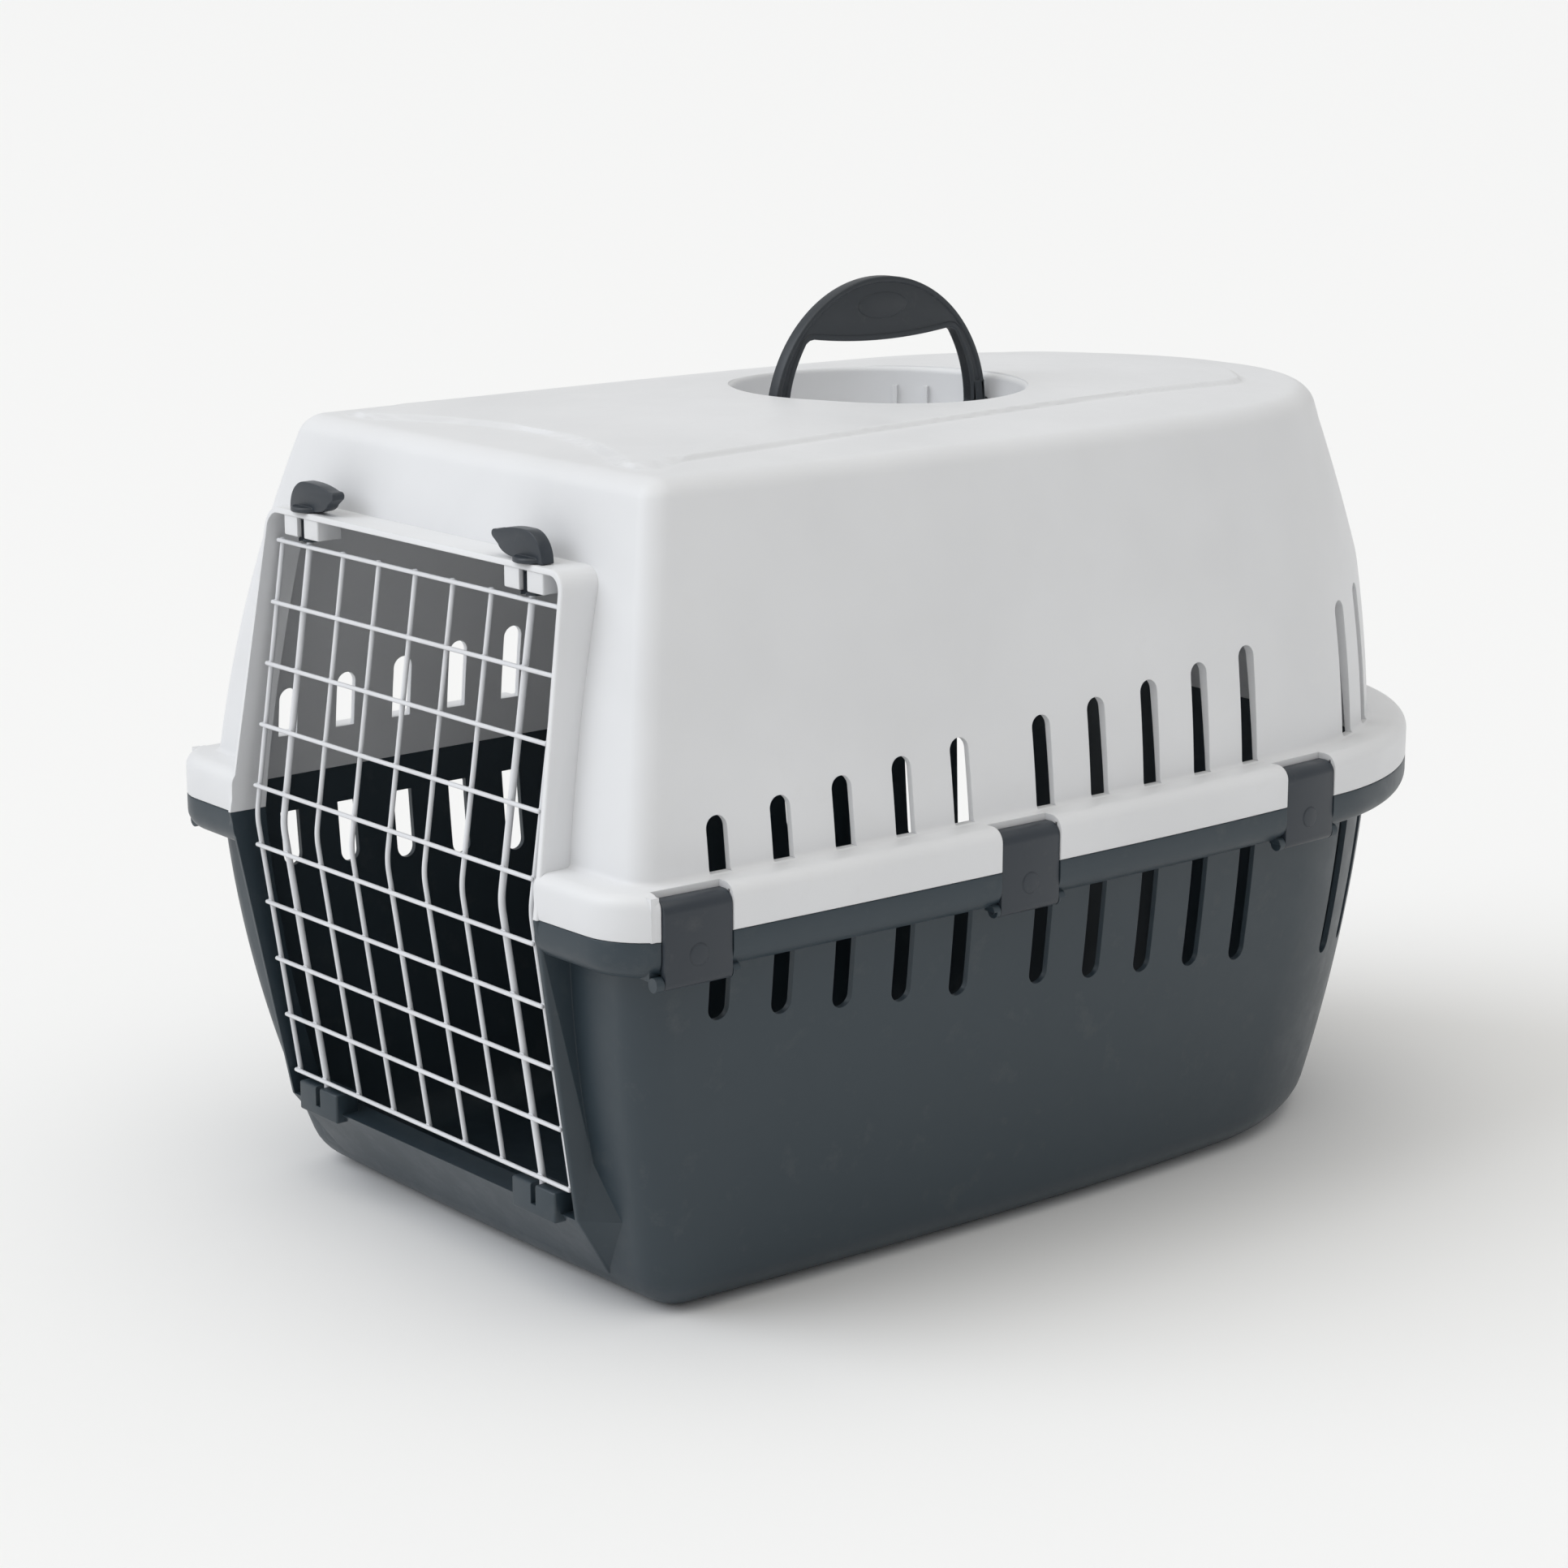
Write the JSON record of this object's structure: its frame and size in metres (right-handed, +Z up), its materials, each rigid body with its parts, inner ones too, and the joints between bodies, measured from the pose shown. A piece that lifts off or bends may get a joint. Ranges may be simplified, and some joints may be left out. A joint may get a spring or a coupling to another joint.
{
  "type": "pet transport carrier",
  "caption": "Two-part hard plastic pet carrier with a bulged wire door, turning latches, side clips, vent slots and a carrying handle that folds into a round dish in the roof",
  "frame": {"origin": "middle of the footprint on the standing surface", "axes": "+Z up, the wire door faces -Y, X across"},
  "size_m": [0.405, 0.605, 0.4525],
  "materials": {
    "upper_plastic": "satin moulded polypropylene, light grey",
    "base_plastic": "satin moulded polypropylene, dark slate",
    "handle_plastic": "satin moulded polypropylene, dark slate",
    "trim_plastic": "satin moulded polypropylene, dark slate",
    "coated_wire": "pale powder coat on steel wire"
  },
  "bodies": {
    "carrier": {"base_shell": "base_plastic", "top_shell": "upper_plastic"},
    "handle": {"carry_handle": "handle_plastic"},
    "latch_left": {"latch_left": "trim_plastic"},
    "latch_right": {"latch_right": "trim_plastic"},
    "door": {"door_hinge_rod": "coated_wire", "door_free_rod": "coated_wire", "door_edge_wire_left": "coated_wire", "door_edge_wire_right": "coated_wire", "door_upright_1": "coated_wire", "door_upright_2": "coated_wire", "door_upright_3": "coated_wire", "door_upright_4": "coated_wire", "door_upright_5": "coated_wire", "door_top_wire": "coated_wire", "door_bottom_wire": "coated_wire", "door_cross_wires": "coated_wire"},
    "clip_left_front": {"clip_left_front": "trim_plastic"},
    "clip_left_middle": {"clip_left_middle": "trim_plastic"},
    "clip_left_rear": {"clip_left_rear": "trim_plastic"},
    "clip_right_front": {"clip_right_front": "trim_plastic"},
    "clip_right_middle": {"clip_right_middle": "trim_plastic"},
    "clip_right_rear": {"clip_right_rear": "trim_plastic"}
  },
  "joints": [
    {"name": "door_hinge", "type": "hinge", "parent": "carrier", "child": "door", "pos_m": [-0.09231, -0.2737, 0.1973], "axis": [0, 0, -1], "range_deg": [0, 105]},
    {"name": "handle_fold", "type": "hinge", "parent": "carrier", "child": "handle", "pos_m": [0, 0.01, 0.381], "axis": [0, 1, 0], "range_deg": [-86, 86]},
    {"name": "latch_left_turn", "type": "hinge", "parent": "carrier", "child": "latch_left", "pos_m": [-0.09231, -0.2737, 0.345], "axis": [0, 0, -1], "range_deg": [0, 90]},
    {"name": "latch_right_turn", "type": "hinge", "parent": "carrier", "child": "latch_right", "pos_m": [0.09231, -0.2737, 0.345], "axis": [0, 0, 1], "range_deg": [0, 90]},
    {"name": "clip_left_front_turn", "type": "hinge", "parent": "carrier", "child": "clip_left_front", "pos_m": [-0.19397, -0.26286, 0.1785], "axis": [0.0345, -0.9994, 0], "range_deg": [0, 100]},
    {"name": "clip_left_middle_turn", "type": "hinge", "parent": "carrier", "child": "clip_left_middle", "pos_m": [-0.19819, -0.06896, 0.1785], "axis": [0.009, -1, 0], "range_deg": [0, 100]},
    {"name": "clip_left_rear_turn", "type": "hinge", "parent": "carrier", "child": "clip_left_rear", "pos_m": [-0.19466, 0.12626, 0.1785], "axis": [-0.0607, -0.9982, 0], "range_deg": [0, 100]},
    {"name": "clip_right_front_turn", "type": "hinge", "parent": "carrier", "child": "clip_right_front", "pos_m": [0.19397, -0.26286, 0.1785], "axis": [0.0345, 0.9994, 0], "range_deg": [0, 100]},
    {"name": "clip_right_middle_turn", "type": "hinge", "parent": "carrier", "child": "clip_right_middle", "pos_m": [0.19819, -0.06896, 0.1785], "axis": [0.009, 1, 0], "range_deg": [0, 100]},
    {"name": "clip_right_rear_turn", "type": "hinge", "parent": "carrier", "child": "clip_right_rear", "pos_m": [0.19466, 0.12626, 0.1785], "axis": [-0.0607, 0.9982, 0], "range_deg": [0, 100]}
  ]
}
